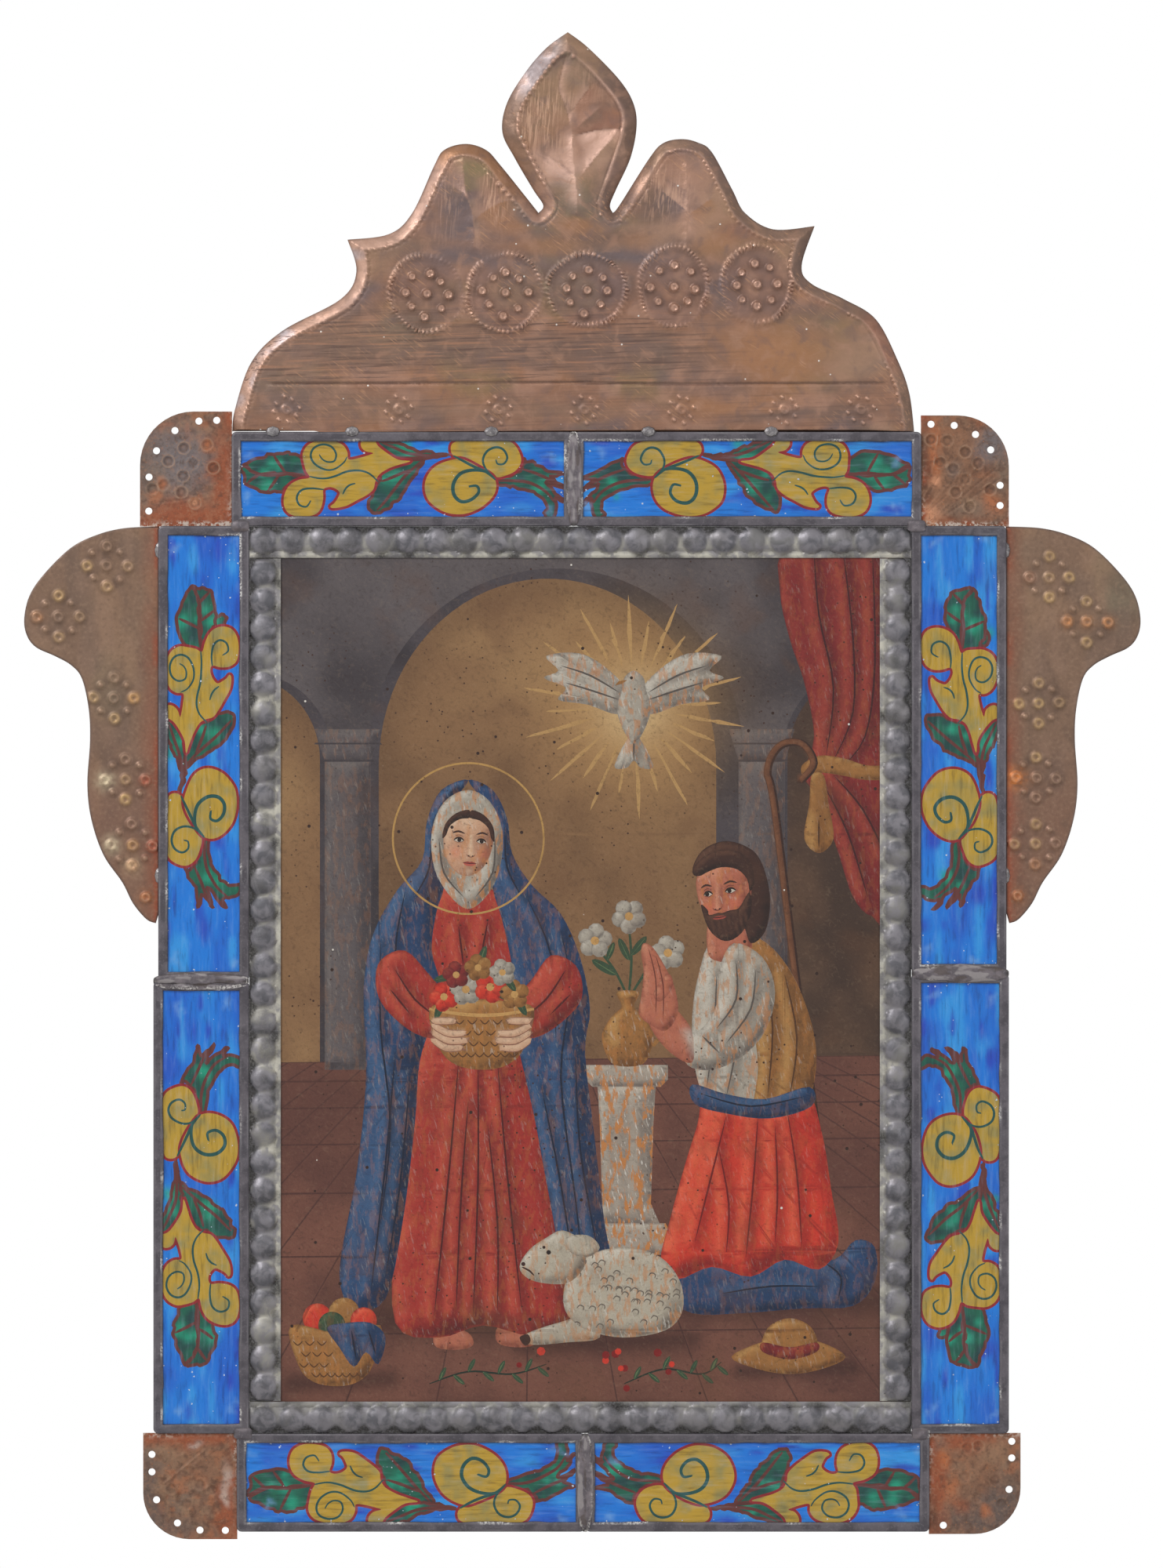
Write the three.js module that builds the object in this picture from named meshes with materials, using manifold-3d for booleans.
// A framed retablo: an oil painting on tin in a frame of soldered tinwork and painted glass.
// Millimetres. X runs to the right, Z up, and the front faces -Y. The origin is the nail that
// the hanging ring goes over, on the face of the wall, which is the plane y = 0.

import * as THREE from 'three';
import { mergeVertices } from 'three/addons/utils/BufferGeometryUtils.js';
import Module from 'manifold-3d';

const wasm = await Module();
wasm.setup();

// Painting: a quarter sheet of tin, held behind the mouldings
const sightWidth = 246;
const sightHeight = 346.6;
const paintingCover = 4;
const paintingSheet = 0.4;
const backPlateSheet = 0.4;

// Clearances: a seat between fixed pieces, and the play of the hanging ring in its strap
const seat = 0.3;
const ringPlay = 0.3;

// Beaded mouldings round the painting
const mouldingWidth = 12.9;
const mouldingSheet = 0.45;
const mouldingRecess = 0.8;
const beadPitch = 11.7;
const beadDiameter = 9.7;
const beadHeight = 2.6;
const beadSides = 8;

// Came: the lead channel bent round each pane, and what it grips
const cameFace = 3.8;
const cameFlange = 0.8;
const cameWeb = 0.8;
const cameCornerRadius = 2;
const glassSheet = 2;
const backingSheet = 0.4;

// Rows of glass above and below the well, which were soldered on a little off centre
const topRowHeight = 38.4;
const topRowLeftOverhang = 6.8;
const topRowRightOverhang = 3.7;
const topDividerOffset = -2.7;
const bottomRowHeight = 40;
const bottomRowLeftOverhang = 4.7;
const bottomRowRightOverhang = 7;
const bottomDividerOffset = 2;

// Columns of glass at the sides, whose four boxes differ a little in width
const leftUpperWidth = 36.9;
const leftLowerWidth = 38.9;
const leftDividerOffset = -0.6;
const rightUpperWidth = 38.6;
const rightLowerWidth = 39.6;
const rightDividerOffset = 2.6;

// Corner fans: how far each reaches past the column and past the row, and its round corner
const fanSheet = 0.4;
const fanDepth = 1.2;
const fanTopLeft = { side: 7.7, end: 8.5, radius: 22 };
const fanTopRight = { side: 1.2, end: 6.9, radius: 21 };
const fanBottomLeft = { side: 4.4, end: 3.3, radius: 19 };
const fanBottomRight = { side: 5, end: 1.2, radius: 19 };
const fanHoleDiameter = 2.9;
const fanHoleMargin = 3.6;
const fanHoleRounding = 6;
const fanHoleSides = 8;

// Ears at the sides of the upper panes
const earWidth = 55;
const earHeight = 163;
const earSheet = 0.45;
const earDepth = 1.6;
const earBossDiameter = 4;
const earBossHeight = 1.1;
const earRosetteRadius = 8.7;

// Crest: one raised sheet of copper with its edge turned back
const crestHeight = 164;
const crestLeftInset = 0;
const crestRightInset = 2.7;
const crestSheet = 0.45;
const crestLift = 0.5;
const crestBevelWidth = 4.4;
const crestBevelDepth = 3;
const crestBossDiameter = 3.9;
const crestBossHeight = 1.2;
const crestRosetteRadius = 9;
const crestRimWidth = 2;
const crestRimHeight = 0.9;
const crestSmallBossDiameter = 2;
const crestSmallBossHeight = 0.7;
const crestSmallRosetteRadius = 5.3;
const crestCreaseWidth = 2.4;
const crestCreaseHeight = 0.8;
const bossSides = 6;
const bossSink = 1 / 6;
const petals = 8;

// Solder: drops that join the crest to the top row and the ears to the columns
const crestSolderLength = 6;
const crestSolderHeight = 4.4;
const earSolderLength = 7;
const solderProud = 1.1;

// Hanging ring and the folded strap that holds it, soldered over the seam of the top row
const ringDiameter = 22;
const ringWire = 2;
const strapWidth = 5;
const strapSheet = 0.5;
const strapTongue = 9;
const nailDiameter = 3;

// Outline points are [across, up] in hundredths of the piece's own width and height. A list
// of stretches: each is one smooth curve through its points, and the ends are corners.
const crestOutline = [
  [[0, 0], [0.4, 5.5], [2.8, 17.3], [7.4, 25.2], [15.9, 33.1], [18.2, 40], [16.9, 48]],
  [[16.9, 48], [23, 49.4], [26.4, 54.7], [29.6, 66.5], [31.1, 70.5], [34.2, 72], [37.2, 70.5],
    [39.4, 66.5], [43.9, 56.9], [44.9, 54.7]],
  [[44.9, 54.7], [45.6, 56.6], [44.1, 60.6], [41.4, 68.5], [39.6, 75], [40.3, 82.3], [43.1, 90.2],
    [46.1, 96.1], [49.2, 100]],
  [[49.2, 100], [52.2, 96.1], [56.7, 88.2], [58.8, 82.3], [59.3, 76.4], [58.4, 68.5], [56.3, 60.6],
    [55.4, 56.7], [55.8, 54.7]],
  [[55.8, 54.7], [56.8, 56.7], [61.2, 68.5], [63.2, 72.2], [65.8, 73.2], [68.2, 72.4], [70.3, 70],
    [73.3, 60.6], [75.2, 54.7], [79.3, 50.6], [85.4, 51.4]],
  [[85.4, 51.4], [83.5, 41.5], [84.9, 37], [89.7, 33.1], [94.4, 28], [97.7, 17.3],
    [99.3, 9.4], [100, 0]],
];
const earOutline = [
  [[0, 100], [25, 99.6], [45, 98], [65, 94.7], [85, 88.1], [96, 82.6], [100, 76.8], [98, 72.5],
    [91, 69.5], [77, 67.3], [65, 65], [57, 61.6], [52, 54], [51, 46], [53, 35], [50, 26.1],
    [41, 17.2], [27, 10.3], [19, 5], [9, 1], [2, 0]],
  [[2, 0], [0, 3]],
];

// Centres of the rosettes in the same hundredths, and the crest's rims with their radii in mm
const crestRims = [
  { at: [28.6, 34.3], width: 15.2, height: 15.5 },
  { at: [40.1, 34.6], width: 15.6, height: 15.6 },
  { at: [52.1, 35.2], width: 15.6, height: 15.1 },
  { at: [64.8, 36], width: 14.4, height: 16 },
  { at: [77, 36.6], width: 14.7, height: 15.4 },
];
const crestSmallRosettes = [8, 24.5, 39.1, 51.7, 65.9, 81, 92.2];
const crestSmallRosetteHeight = 5.3;
const crestCreases = [
  [[4.4, 11.6], [96, 11.6]],
  [[49.4, 89], [50.2, 57]],
  [[49.6, 82], [54, 88]],
  [[49.8, 74], [57, 76]],
  [[50, 64], [56, 73]],
  [[49.6, 80], [44, 86]],
  [[50, 64], [43.5, 71]],
  [[35, 71], [36.2, 55]],
  [[66.2, 71], [66.4, 55]],
];
const crestSolders = [6, 17.6, 38, 61, 79];
const leftEarRosettes = [[38.4, 90.1], [74.4, 77.2], [33.1, 56.7], [24.4, 36.2], [19.2, 19.6]];
const rightEarRosettes = [[32, 87.1], [60, 76], [24.2, 55.4], [22.4, 36.6], [21.8, 20]];
const leftEarTipBoss = [9.3, 6.5];
const rightEarTipBoss = [8.3, 6.9];
const earSolders = [94, 12];

// Places of the holes along each fan's free edge, in hundredths of it, from the column's side
const fanHolePlaces = {
  topLeft: [9, 30, 47, 64, 80, 91],
  topRight: [13, 26, 50, 64, 79, 94],
  bottomLeft: [13, 24, 42, 62, 77, 93],
  bottomRight: [5, 16, 37, 91],
};

// Depths, from the wall forward
const wireRadius = ringWire / 2;
const ringRadius = ringDiameter / 2;
const ringSagitta = ringRadius - Math.sqrt(ringRadius ** 2 - (strapWidth / 2) ** 2);
const boreRadius = wireRadius + ringSagitta + ringPlay;
const loopRadius = boreRadius + strapSheet;
const ringAxisY = -loopRadius;
const cameRear = ringAxisY - loopRadius - seat;
const cameDepth = 2 * cameFlange + glassSheet + backingSheet + 3 * seat;
const cameFront = cameRear - cameDepth;
const mouldingFront = cameFront + mouldingRecess;
const paintingFront = mouldingFront + mouldingSheet + seat;
const backPlateFront = paintingFront + paintingSheet + seat;

// Edges of the well that holds the painting, and of the boxes round it
const wellX = sightWidth / 2 + mouldingWidth + seat;
const wellZ = sightHeight / 2 + mouldingWidth + seat;
const columnEnd = wellZ - seat;
const topRow = {
  left: -wellX - topRowLeftOverhang,
  right: wellX + topRowRightOverhang,
  low: wellZ,
  high: wellZ + topRowHeight,
};
const bottomRow = {
  left: -wellX - bottomRowLeftOverhang,
  right: wellX + bottomRowRightOverhang,
  low: -wellZ - bottomRowHeight,
  high: -wellZ,
};
const ringAxisZ = (topRow.low + topRow.high) / 2;
const nailAbovePivot = 2 * ringRadius - wireRadius - nailDiameter / 2;

// Colours and finishes
const finishes = {
  copper: { color: 0x8f6a52, roughness: 0.45, metalness: 0.9 },
  agedTin: { color: 0x74604f, roughness: 0.6, metalness: 0.7 },
  rustyTin: { color: 0x6e4a38, roughness: 0.8, metalness: 0.5 },
  lead: { color: 0x67646a, roughness: 0.55, metalness: 0.8 },
  pewter: { color: 0x70757a, roughness: 0.5, metalness: 0.8 },
  solder: { color: 0x9a9a9c, roughness: 0.4, metalness: 0.9 },
  paint: { color: 0x806044, roughness: 0.5, metalness: 0 },
  glass: { color: 0x2a6cc8, roughness: 0.1, metalness: 0 },
  iron: { color: 0x55504c, roughness: 0.6, metalness: 0.8 },
};

const painting = new THREE.Group();

function place(name, geometry, finish, x = 0, y = 0, z = 0) {
  const mesh = new THREE.Mesh(geometry, new THREE.MeshStandardMaterial(finishes[finish]));
  mesh.name = name;
  mesh.position.set(x, y, z);
  painting.add(mesh);
}

// Solids: closed meshes to and from the library that joins and cuts them

function toSolid(geometry) {
  const bare = new THREE.BufferGeometry();
  bare.setAttribute('position', geometry.getAttribute('position'));
  bare.setIndex(geometry.getIndex());
  const merged = mergeVertices(bare, 1e-4);
  return new wasm.Manifold(new wasm.Mesh({
    numProp: 3,
    vertProperties: merged.getAttribute('position').array,
    triVerts: new Uint32Array(merged.getIndex().array),
  }));
}

function toGeometry(solid) {
  const mesh = solid.getMesh();
  const geometry = new THREE.BufferGeometry();
  geometry.setAttribute('position', new THREE.BufferAttribute(mesh.vertProperties, 3));
  geometry.setIndex(new THREE.BufferAttribute(mesh.triVerts, 1));
  const faceted = geometry.toNonIndexed();
  faceted.computeVertexNormals();
  return faceted;
}

// Turns a shape drawn in XY, with its depth along Z, to stand in XZ with its depth towards -Y
const upright = new THREE.Matrix4().set(1, 0, 0, 0, 0, 0, -1, 0, 0, 1, 0, 0, 0, 0, 0, 1);

// A flat plate of the shape, whose front face lies at y = 0
function plate(shape, thickness, curveSegments = 12) {
  const options = { depth: thickness, bevelEnabled: false, curveSegments };
  const geometry = new THREE.ExtrudeGeometry(shape, options);
  geometry.applyMatrix4(upright);
  geometry.translate(0, thickness, 0);
  return geometry;
}

function rectangle(left, low, right, high) {
  return new THREE.Shape([
    new THREE.Vector2(left, low),
    new THREE.Vector2(right, low),
    new THREE.Vector2(right, high),
    new THREE.Vector2(left, high),
  ]);
}

function roundedRectangle(left, low, right, high, radius) {
  const shape = new THREE.Shape();
  shape.moveTo(left + radius, low);
  shape.lineTo(right - radius, low);
  shape.absarc(right - radius, low + radius, radius, -Math.PI / 2, 0, false);
  shape.lineTo(right, high - radius);
  shape.absarc(right - radius, high - radius, radius, 0, Math.PI / 2, false);
  shape.lineTo(left + radius, high);
  shape.absarc(left + radius, high - radius, radius, Math.PI / 2, Math.PI, false);
  shape.lineTo(left, low + radius);
  shape.absarc(left + radius, low + radius, radius, Math.PI, Math.PI * 1.5, false);
  return shape;
}

// The points of an outline in mm, with stepsPerSpan points between two that it goes through
function trace(stretches, width, height, stepsPerSpan) {
  const points = [];
  for (const stretch of stretches) {
    const knots = stretch.map(([u, v]) => new THREE.Vector2(u * width / 100, v * height / 100));
    const steps = knots.length === 2 ? 1 : stepsPerSpan * (knots.length - 1);
    const curve = new THREE.SplineCurve(knots);
    for (let i = 0; i < steps; i += 1) points.push(curve.getPoint(i / steps));
  }
  const [u, v] = stretches.at(-1).at(-1);
  points.push(new THREE.Vector2(u * width / 100, v * height / 100));
  return points;
}

// A raised boss at y = 0: a low cone that points to the front and starts a little inside
function boss(diameter, height, sides) {
  const sink = height * bossSink;
  const base = (diameter / 2) * (1 + bossSink);
  const cone = new THREE.ConeGeometry(base, height + sink, sides);
  cone.rotateX(Math.PI);
  cone.translate(0, (sink - height) / 2, 0);
  return cone;
}

// A raised rim round an ellipse, with a ridge along its middle
function rim(radiusX, radiusZ, width, height, sides) {
  const mean = (radiusX + radiusZ) / 2;
  const sink = height * bossSink;
  const profile = [
    new THREE.Vector2(mean - width / 2, -sink),
    new THREE.Vector2(mean + width / 2, -sink),
    new THREE.Vector2(mean, height),
    new THREE.Vector2(mean - width / 2, -sink),
  ];
  const ring = new THREE.LatheGeometry(profile, sides);
  ring.rotateX(Math.PI);
  ring.scale(radiusX / mean, 1, radiusZ / mean);
  return ring;
}

// A raised crease from one point to another, highest in the middle and fading to both ends
function crease(from, to, width, height) {
  const along = new THREE.Vector2().subVectors(to, from);
  const diamond = boss(2, height, 4);
  diamond.scale(along.length() / 2 / (1 + bossSink), 1, width / 2);
  diamond.rotateY(-along.angle());
  diamond.translate((from.x + to.x) / 2, 0, (from.y + to.y) / 2);
  return diamond;
}

// Presses each tool into a sheet from behind: its form stands out in front and is hollow behind
function emboss(sheet, tools, thickness) {
  let solid = sheet;
  for (const tool of tools) solid = solid.add(toSolid(tool));
  for (const tool of tools) solid = solid.subtract(toSolid(tool).translate([0, thickness, 0]));
  return solid;
}

// A rosette: one boss in the middle and the petals in a ring round it
function rosette(x, z, radius, diameter, height, sides) {
  const bosses = [boss(diameter, height, sides).translate(x, 0, z)];
  for (let i = 0; i < petals; i += 1) {
    const turn = (i / petals) * 2 * Math.PI;
    const petal = boss(diameter, height, sides);
    bosses.push(petal.translate(x + radius * Math.cos(turn), 0, z + radius * Math.sin(turn)));
  }
  return bosses;
}

// Painting and the plate behind it

function makePainting() {
  const halfX = sightWidth / 2 + paintingCover;
  const halfZ = sightHeight / 2 + paintingCover;
  const panel = plate(rectangle(-halfX, -halfZ, halfX, halfZ), paintingSheet);
  place('painting_panel', panel, 'paint', 0, paintingFront, 0);

  const plateX = wellX - seat;
  const plateZ = wellZ - seat;
  const back = plate(rectangle(-plateX, -plateZ, plateX, plateZ), backPlateSheet);
  place('back_plate', back, 'agedTin', 0, backPlateFront, 0);
}

// Beaded mouldings: strips of tin with a row of domes. The top and bottom strips run the full
// width, and the side strips end against them.

function bead() {
  const radius = beadDiameter / 2;
  const sink = mouldingSheet / 2;
  const profile = [
    new THREE.Vector2(0, -sink),
    new THREE.Vector2(radius, -sink),
    new THREE.Vector2(radius, 0),
    new THREE.Vector2(radius * 0.72, beadHeight * 0.66),
    new THREE.Vector2(0, beadHeight),
  ];
  return new THREE.LatheGeometry(profile, beadSides).rotateX(Math.PI);
}

function beadedStrip(length) {
  const strip = rectangle(-length / 2, -mouldingWidth / 2, length / 2, mouldingWidth / 2);
  let solid = toSolid(plate(strip, mouldingSheet));
  const count = Math.max(1, Math.round(length / beadPitch));
  const dome = toSolid(bead());
  for (let i = 0; i < count; i += 1) {
    solid = solid.add(dome.translate([(i + 0.5 - count / 2) * length / count, 0, 0]));
  }
  return toGeometry(solid);
}

function makeMouldings() {
  const across = beadedStrip(sightWidth + 2 * mouldingWidth);
  const along = beadedStrip(sightHeight - 2 * seat).rotateY(Math.PI / 2);
  const x = (sightWidth + mouldingWidth) / 2;
  const z = (sightHeight + mouldingWidth) / 2;
  place('beaded_moulding_top', across, 'pewter', 0, mouldingFront, z);
  place('beaded_moulding_bottom', across, 'pewter', 0, mouldingFront, -z);
  place('beaded_moulding_left', along, 'pewter', -x, mouldingFront, 0);
  place('beaded_moulding_right', along, 'pewter', x, mouldingFront, 0);
}

// Glass boxes: came bent round a pane and the tin behind it

function came(width, height) {
  const x = width / 2;
  const z = height / 2;
  const radius = Math.min(cameCornerRadius, 2.5 * cameWeb);
  const outline = roundedRectangle(-x, -z, x, z, radius);
  outline.holes.push(rectangle(-x + cameFace, -z + cameFace, x - cameFace, z - cameFace));
  const pocketX = x - cameWeb;
  const pocketZ = z - cameWeb;
  const pocket = plate(rectangle(-pocketX, -pocketZ, pocketX, pocketZ), cameDepth - 2 * cameFlange);
  pocket.translate(0, cameFlange, 0);
  return toGeometry(toSolid(plate(outline, cameDepth, 2)).subtract(toSolid(pocket)));
}

function makeBox(name, left, low, right, high) {
  const width = right - left;
  const height = high - low;
  const x = (left + right) / 2;
  const z = (low + high) / 2;
  const paneX = width / 2 - cameWeb - seat;
  const paneZ = height / 2 - cameWeb - seat;
  const outline = rectangle(-paneX, -paneZ, paneX, paneZ);
  const glassFront = cameFront + cameFlange + seat;
  const backingFront = glassFront + glassSheet + seat;
  place(`came_${name}`, came(width, height), 'lead', x, cameFront, z);
  place(`glass_${name}`, plate(outline, glassSheet), 'glass', x, glassFront, z);
  place(`backing_${name}`, plate(outline, backingSheet), 'agedTin', x, backingFront, z);
}

function makeBoxes() {
  const { low: topLow, high: topHigh } = topRow;
  const { low: bottomLow, high: bottomHigh } = bottomRow;
  const seam = seat / 2;
  makeBox('top_left', topRow.left, topLow, topDividerOffset - seam, topHigh);
  makeBox('top_right', topDividerOffset + seam, topLow, topRow.right, topHigh);
  makeBox('bottom_left', bottomRow.left, bottomLow, bottomDividerOffset - seam, bottomHigh);
  makeBox('bottom_right', bottomDividerOffset + seam, bottomLow, bottomRow.right, bottomHigh);
  makeBox('left_upper', -wellX - leftUpperWidth, leftDividerOffset + seam, -wellX, columnEnd);
  makeBox('left_lower', -wellX - leftLowerWidth, -columnEnd, -wellX, leftDividerOffset - seam);
  makeBox('right_upper', wellX, rightDividerOffset + seam, wellX + rightUpperWidth, columnEnd);
  makeBox('right_lower', wellX, -columnEnd, wellX + rightLowerWidth, rightDividerOffset - seam);
}

// Corner fans: a tin sheet with one round corner and holes along its free edge. A fan is drawn
// with its inner corner at the origin, reaching out along X and Z by the signs of its corner.

function fan(width, height, radius, holePlaces, signX, signZ) {
  const corner = Math.min(radius, width * 0.9, height * 0.9);
  const edge = (margin, round) => {
    const path = new THREE.Path();
    path.moveTo(signX * (width - margin), 0);
    path.lineTo(signX * (width - margin), signZ * (height - round));
    const turn = (Math.PI / 2) * signX * signZ;
    const start = signX > 0 ? 0 : Math.PI;
    const centre = [signX * (width - round), signZ * (height - round)];
    path.absarc(...centre, round - margin, start, start + turn, signX * signZ < 0);
    path.lineTo(0, signZ * (height - margin));
    return path;
  };
  const outline = [new THREE.Vector2(0, 0), ...edge(0, corner).getPoints(6)];
  const shape = new THREE.Shape(outline);
  const holeLine = edge(fanHoleMargin, corner + fanHoleRounding);
  for (const place of holePlaces) {
    const { x, y } = holeLine.getPointAt(place / 100);
    const hole = new THREE.Path();
    hole.absarc(x, y, fanHoleDiameter / 2, 0, 2 * Math.PI, false);
    shape.holes.push(new THREE.Path(hole.getPoints(fanHoleSides / 2).slice(0, -1)));
  }
  return plate(shape, fanSheet);
}

function makeFan(name, size, holePlaces, rowEnd, rowFar, columnFar, signX, signZ) {
  const x = rowEnd + signX * seat;
  const z = signZ * (columnEnd + seat);
  const width = Math.abs(columnFar - x) + size.side;
  const height = Math.abs(rowFar - z) + size.end;
  const sheet = fan(width, height, size.radius, holePlaces, signX, signZ);
  place(`corner_fan_${name}`, sheet, 'rustyTin', x, cameFront + fanDepth, z);
}

function makeFans() {
  const { topLeft, topRight, bottomLeft, bottomRight } = fanHolePlaces;
  const leftUpper = -wellX - leftUpperWidth;
  const leftLower = -wellX - leftLowerWidth;
  const rightUpper = wellX + rightUpperWidth;
  const rightLower = wellX + rightLowerWidth;
  makeFan('top_left', fanTopLeft, topLeft, topRow.left, topRow.high, leftUpper, -1, 1);
  makeFan('top_right', fanTopRight, topRight, topRow.right, topRow.high, rightUpper, 1, 1);
  makeFan('bottom_left', fanBottomLeft, bottomLeft, bottomRow.left, bottomRow.low, leftLower, -1, -1);
  makeFan('bottom_right', fanBottomRight, bottomRight, bottomRow.right, bottomRow.low, rightLower,
    1, -1);
}

// Ears: tin sheets with pressed rosettes. An ear is drawn with its inner edge on x = 0.

function ear(side, rosettes, tipBoss) {
  const outline = trace(earOutline, side * earWidth, earHeight, 2);
  const sheet = toSolid(plate(new THREE.Shape(outline), earSheet));
  const at = ([u, v]) => [side * u * earWidth / 100, v * earHeight / 100];
  const tools = rosettes.flatMap((centre) => rosette(
    ...at(centre), earRosetteRadius, earBossDiameter, earBossHeight, bossSides,
  ));
  const [tipX, tipZ] = at(tipBoss);
  tools.push(boss(earBossDiameter, earBossHeight, bossSides).translate(tipX, 0, tipZ));
  return toGeometry(emboss(sheet, tools, earSheet));
}

// A drop of solder in the corner between an ear and the column, cut to a quarter
function earSolder(side) {
  const drop = new THREE.SphereGeometry(1, 8, 6);
  drop.scale(solderProud * 1.6, solderProud, earSolderLength / 2);
  const quarter = new THREE.BoxGeometry(earSolderLength, earSolderLength, 2 * earSolderLength);
  quarter.translate(side * earSolderLength / 2, -earSolderLength / 2, 0);
  return toGeometry(toSolid(drop).intersect(toSolid(quarter)));
}

function makeEars() {
  const y = cameFront + earDepth;
  const low = columnEnd - earHeight;
  const sides = [
    ['left', -1, -wellX - leftUpperWidth, leftEarRosettes, leftEarTipBoss],
    ['right', 1, wellX + rightUpperWidth, rightEarRosettes, rightEarTipBoss],
  ];
  for (const [name, side, columnFar, rosettes, tipBoss] of sides) {
    const x = columnFar + side * seat;
    place(`ear_${name}`, ear(side, rosettes, tipBoss), 'agedTin', x, y, low);
    earSolders.forEach((up, i) => {
      const z = low + up * earHeight / 100;
      place(`ear_solder_${name}_${i + 1}`, earSolder(side), 'solder', columnFar, y, z);
    });
  }
}

// Crest: its outline runs up from the left end of the base and down to the right end. The edge
// is turned back all along it, and the base is cut straight through.

function insetAlong(outline, distance) {
  const last = outline.length - 1;
  const right = (from, to) => new THREE.Vector2(to.y - from.y, from.x - to.x).normalize();
  return outline.map((point, i) => {
    if (i === 0) return new THREE.Vector2(point.x + distance, point.y);
    if (i === last) return new THREE.Vector2(point.x - distance, point.y);
    const before = right(outline[i - 1], point);
    const middle = right(point, outline[i + 1]).add(before).normalize();
    const reach = distance / Math.max(middle.dot(before), 0.5);
    return middle.multiplyScalar(reach).add(point);
  });
}

function turnedSheet(outline, bevelWidth, bevelDepth, thickness) {
  const field = insetAlong(outline, bevelWidth);
  const count = outline.length;
  const positions = [];
  const faces = [];
  const quad = (a, b, c, d) => faces.push(a, b, c, a, c, d);
  const rows = [[outline, bevelDepth], [field, 0], [field, thickness], [outline, bevelDepth + thickness]];
  for (const [points, y] of rows) for (const p of points) positions.push(p.x, y, p.y);
  const [edgeFront, fieldFront, fieldBack, edgeBack] = rows.map((row, i) => i * count);
  for (let i = 0; i < count - 1; i += 1) {
    const j = i + 1;
    quad(edgeFront + i, fieldFront + i, fieldFront + j, edgeFront + j);
    quad(fieldBack + i, edgeBack + i, edgeBack + j, fieldBack + j);
    quad(edgeBack + i, edgeFront + i, edgeFront + j, edgeBack + j);
  }
  const end = count - 1;
  quad(fieldFront, edgeFront, edgeBack, fieldBack);
  quad(edgeFront + end, fieldFront + end, fieldBack + end, edgeBack + end);
  quad(fieldFront + end, fieldFront, fieldBack, fieldBack + end);
  for (const [a, b, c] of THREE.ShapeUtils.triangulateShape(field, [])) {
    const ccw = THREE.ShapeUtils.area([field[a], field[b], field[c]]) > 0;
    const [p, q, r] = ccw ? [a, b, c] : [a, c, b];
    faces.push(fieldFront + p, fieldFront + q, fieldFront + r);
    faces.push(fieldBack + p, fieldBack + r, fieldBack + q);
  }
  const geometry = new THREE.BufferGeometry();
  geometry.setAttribute('position', new THREE.Float32BufferAttribute(positions, 3));
  geometry.setIndex(faces);
  return geometry;
}

function crest(width) {
  const at = ([u, v]) => new THREE.Vector2(u * width / 100, v * crestHeight / 100);
  const outline = trace(crestOutline, width, crestHeight, 2);
  const tools = [];
  for (const { at: centre, width: radiusX, height: radiusZ } of crestRims) {
    const { x, y: z } = at(centre);
    tools.push(rim(radiusX, radiusZ, crestRimWidth, crestRimHeight, 20).translate(x, 0, z));
    tools.push(...rosette(x, z, crestRosetteRadius, crestBossDiameter, crestBossHeight, bossSides));
  }
  for (const [from, to] of crestCreases) {
    tools.push(crease(at(from), at(to), crestCreaseWidth, crestCreaseHeight));
  }
  let solid = toSolid(turnedSheet(outline, crestBevelWidth, crestBevelDepth, crestSheet));
  solid = emboss(solid, tools, crestSheet);
  for (const across of crestSmallRosettes) {
    const { x, y: z } = at([across, crestSmallRosetteHeight]);
    const dots = rosette(x, z, crestSmallRosetteRadius, crestSmallBossDiameter,
      crestSmallBossHeight, 4);
    for (const dot of dots) solid = solid.add(toSolid(dot));
  }
  return toGeometry(solid);
}

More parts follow.
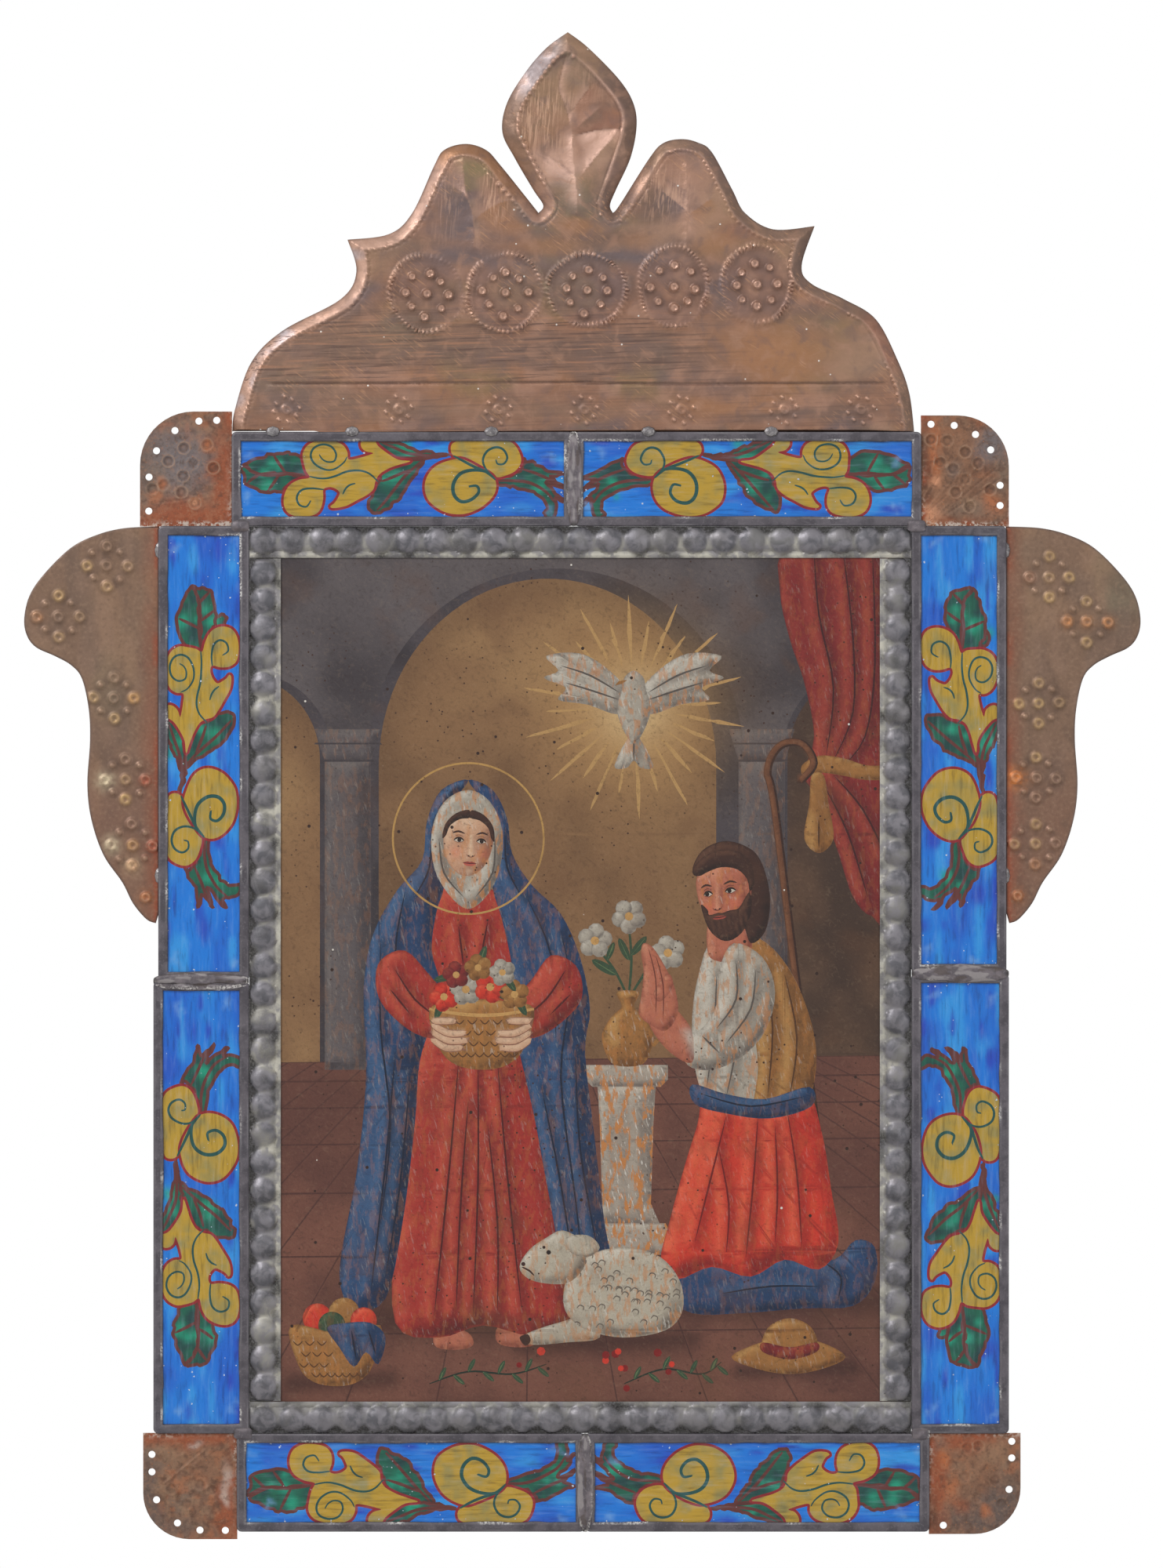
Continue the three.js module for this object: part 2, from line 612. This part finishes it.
// A drop of solder over the gap between the crest and the top row, with a flat back
function crestSolder() {
  const drop = new THREE.SphereGeometry(1, 8, 6);
  drop.scale(crestSolderLength / 2, solderProud, crestSolderHeight / 2);
  const front = new THREE.BoxGeometry(crestSolderLength, solderProud * 2, crestSolderLength);
  front.translate(0, -solderProud, 0);
  return toGeometry(toSolid(drop).intersect(toSolid(front)));
}

function makeCrest() {
  const left = topRow.left + crestLeftInset;
  const width = topRow.right - crestRightInset - left;
  const base = topRow.high + crestLift;
  place('crest', crest(width), 'copper', left, cameFront, base);
  crestSolders.forEach((across, i) => {
    const x = left + across * width / 100;
    place(`crest_solder_${i + 1}`, crestSolder(), 'solder', x, cameFront, base - crestLift / 2);
  });
}

// Hanging ring, drawn hanging down, and its strap: a tongue folded round the wire

function ringStrap() {
  const tongueBack = -loopRadius + 2 * strapSheet;
  const join = Math.asin((loopRadius - 2 * strapSheet) / loopRadius);
  const section = new THREE.Shape();
  section.moveTo(tongueBack, -strapTongue);
  section.lineTo(tongueBack, -loopRadius * Math.cos(join));
  section.absarc(0, 0, loopRadius, -Math.PI / 2 - join, Math.PI, false);
  section.lineTo(-loopRadius, -strapTongue);
  const bore = new THREE.Path();
  bore.absarc(0, 0, boreRadius, 0, 2 * Math.PI, false);
  section.holes.push(bore);
  const options = { depth: strapWidth, bevelEnabled: false, curveSegments: 16 };
  const geometry = new THREE.ExtrudeGeometry(section, options);
  // The section's X is the real Y and its Y is the real Z; its depth runs along the real X
  geometry.applyMatrix4(new THREE.Matrix4().set(0, 0, 1, 0, 1, 0, 0, 0, 0, 1, 0, 0, 0, 0, 0, 1));
  geometry.translate(-strapWidth / 2, 0, 0);
  return geometry;
}

function makeHanger() {
  const x = topDividerOffset;
  place('ring_strap', ringStrap(), 'agedTin', x, ringAxisY, ringAxisZ);
  const ring = new THREE.TorusGeometry(ringRadius, wireRadius, 8, 28);
  ring.applyMatrix4(upright);
  place('hanging_ring', ring, 'iron', x, ringAxisY, ringAxisZ - ringRadius);
}

makePainting();
makeMouldings();
makeBoxes();
makeFans();
makeEars();
makeCrest();
makeHanger();

// The frame is drawn about the painting's centre; the nail is the origin of the whole
painting.position.set(-topDividerOffset, 0, -ringAxisZ - nailAbovePivot);
const retablo = new THREE.Group();
retablo.add(painting);

export default retablo;
